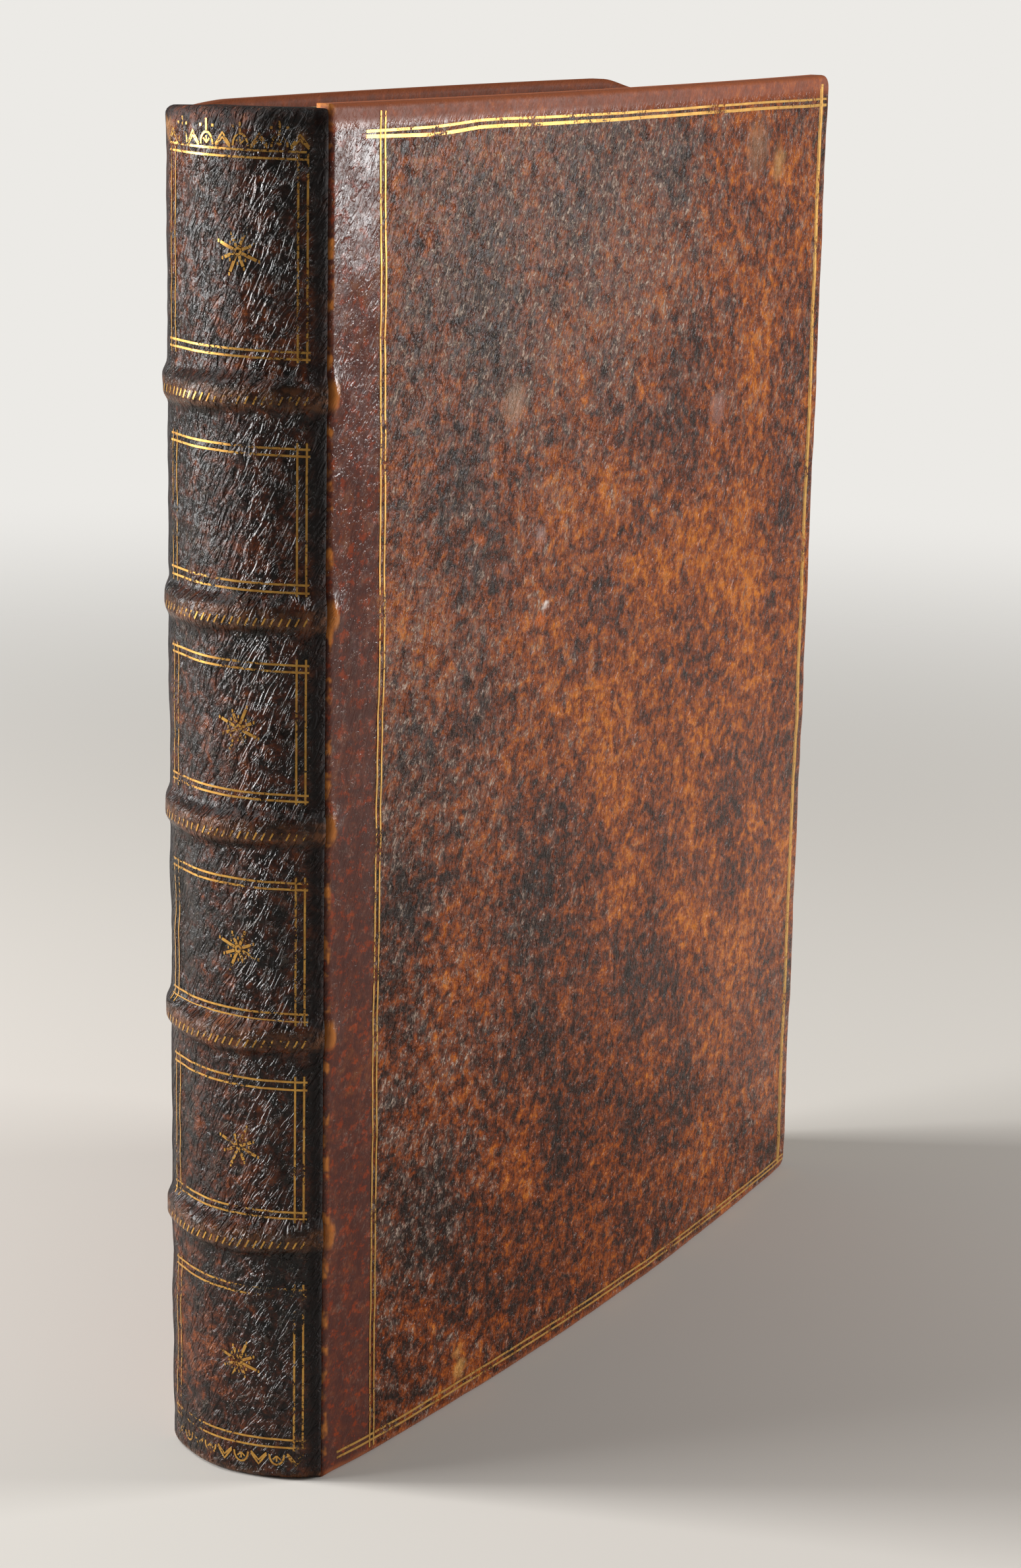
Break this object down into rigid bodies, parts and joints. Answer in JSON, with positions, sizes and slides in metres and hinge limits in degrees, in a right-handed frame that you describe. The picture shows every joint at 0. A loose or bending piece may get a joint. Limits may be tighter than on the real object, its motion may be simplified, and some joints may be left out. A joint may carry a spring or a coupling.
{
  "type": "antique leather book",
  "caption": "Antique quarto book in full mottled calf, with raised bands on a rounded spine and two hinged pasteboard covers.",
  "frame": {"origin": "under the middle of the closed book, on the surface it stands on", "axes": "+Z from tail to head, -Y out of the front cover, +X towards the fore-edge"},
  "size_m": [0.219, 0.0474, 0.268],
  "materials": {
    "mottled_calf": "polished mottled calf, crackled",
    "spine_calf": "polished dark calf, crackled, gilt",
    "pasteboard": "matt",
    "leaves": "matt",
    "endpaper": "matt",
    "lining_paper": "matt",
    "hemp_cord": "matt",
    "headband_silk": "satin"
  },
  "bodies": {
    "book_block": {"text_block": "leaves", "band_cord_1": "hemp_cord", "band_cord_2": "hemp_cord", "band_cord_3": "hemp_cord", "band_cord_4": "hemp_cord", "band_cord_5": "hemp_cord", "spine_lining_1": "lining_paper", "spine_lining_2": "lining_paper", "spine_lining_3": "lining_paper", "spine_lining_4": "lining_paper", "spine_lining_5": "lining_paper", "spine_lining_6": "lining_paper", "spine_leather": "spine_calf", "headband": "headband_silk", "tailband": "headband_silk", "front_free_endpaper": "endpaper", "rear_free_endpaper": "endpaper"},
    "front_cover": {"front_cover_leather": "mottled_calf", "front_board": "pasteboard", "front_lacing_slips": "hemp_cord", "front_pastedown": "endpaper"},
    "rear_cover": {"rear_cover_leather": "mottled_calf", "rear_board": "pasteboard", "rear_lacing_slips": "hemp_cord", "rear_pastedown": "endpaper"}
  },
  "joints": [
    {"name": "front_joint", "type": "hinge", "parent": "book_block", "child": "front_cover", "pos_m": [-0.09845, -0.01875, 0.134], "axis": [0, 0, -1], "range_deg": [0, 180]},
    {"name": "rear_joint", "type": "hinge", "parent": "book_block", "child": "rear_cover", "pos_m": [-0.09845, 0.01875, 0.134], "axis": [0, 0, 1], "range_deg": [0, 180]}
  ]
}
